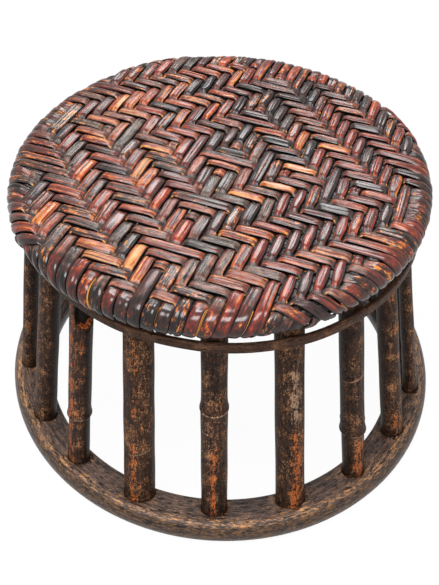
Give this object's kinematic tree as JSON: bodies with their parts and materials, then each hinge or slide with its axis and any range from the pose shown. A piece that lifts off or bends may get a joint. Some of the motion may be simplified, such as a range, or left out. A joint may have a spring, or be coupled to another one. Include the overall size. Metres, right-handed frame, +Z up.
{
  "type": "round bamboo and plaited cane stool",
  "caption": "Low round stool: splayed bamboo and wooden posts stand in a thick base ring and carry a plaited twill cane seat rolled over its rim, bound by a hoop.",
  "frame": {"origin": "on the floor, under the middle of the base ring's bounding box", "axes": "+Z up, the front of the picture towards -Y, +X to its right"},
  "size_m": [0.4156, 0.438, 0.2605],
  "materials": {
    "base_cane": "dark stained thick cane, worn satin with a paler rubbed edge",
    "post_wood": "dark stained wood with orange worn streaks",
    "bamboo": "dark stained bamboo culm with worn orange streaks",
    "dark_cane": "matte dark split cane",
    "warp_cane": "glossy red-brown cane peel",
    "weft_cane": "glossy dark brown cane peel"
  },
  "bodies": {
    "root": {"base_ring": "base_cane", "post_01": "post_wood", "post_02": "post_wood", "post_03": "bamboo", "post_04": "post_wood", "post_05": "bamboo", "post_06": "post_wood", "post_07": "bamboo", "post_08": "post_wood", "post_09": "post_wood", "post_10": "post_wood", "post_11": "bamboo", "post_12": "post_wood", "post_13": "bamboo", "post_14": "post_wood", "post_15": "bamboo", "post_16": "post_wood", "post_17": "bamboo", "post_18": "post_wood", "binding_hoop": "dark_cane", "seat_ring_and_warp": "warp_cane", "weft_strip_01": "weft_cane", "weft_strip_02": "weft_cane", "weft_strip_03": "weft_cane", "weft_strip_04": "weft_cane", "weft_strip_05": "weft_cane", "weft_strip_06": "weft_cane", "weft_strip_07": "weft_cane", "weft_strip_08": "weft_cane", "weft_strip_09": "weft_cane", "weft_strip_10": "weft_cane", "weft_strip_11": "weft_cane", "weft_strip_12": "weft_cane", "weft_strip_13": "weft_cane", "weft_strip_14": "weft_cane", "weft_strip_15": "weft_cane", "weft_strip_16": "weft_cane", "weft_strip_17": "weft_cane", "weft_strip_18": "weft_cane", "weft_strip_19": "weft_cane", "weft_strip_20": "weft_cane", "weft_strip_21": "weft_cane", "weft_strip_22": "weft_cane", "weft_strip_23": "weft_cane", "weft_strip_24": "weft_cane", "weft_strip_25": "weft_cane", "weft_strip_26": "weft_cane", "weft_strip_27": "weft_cane", "weft_strip_28": "weft_cane", "weft_strip_29": "weft_cane", "weft_strip_30": "weft_cane", "weft_strip_31": "weft_cane"}
  },
  "joints": []
}
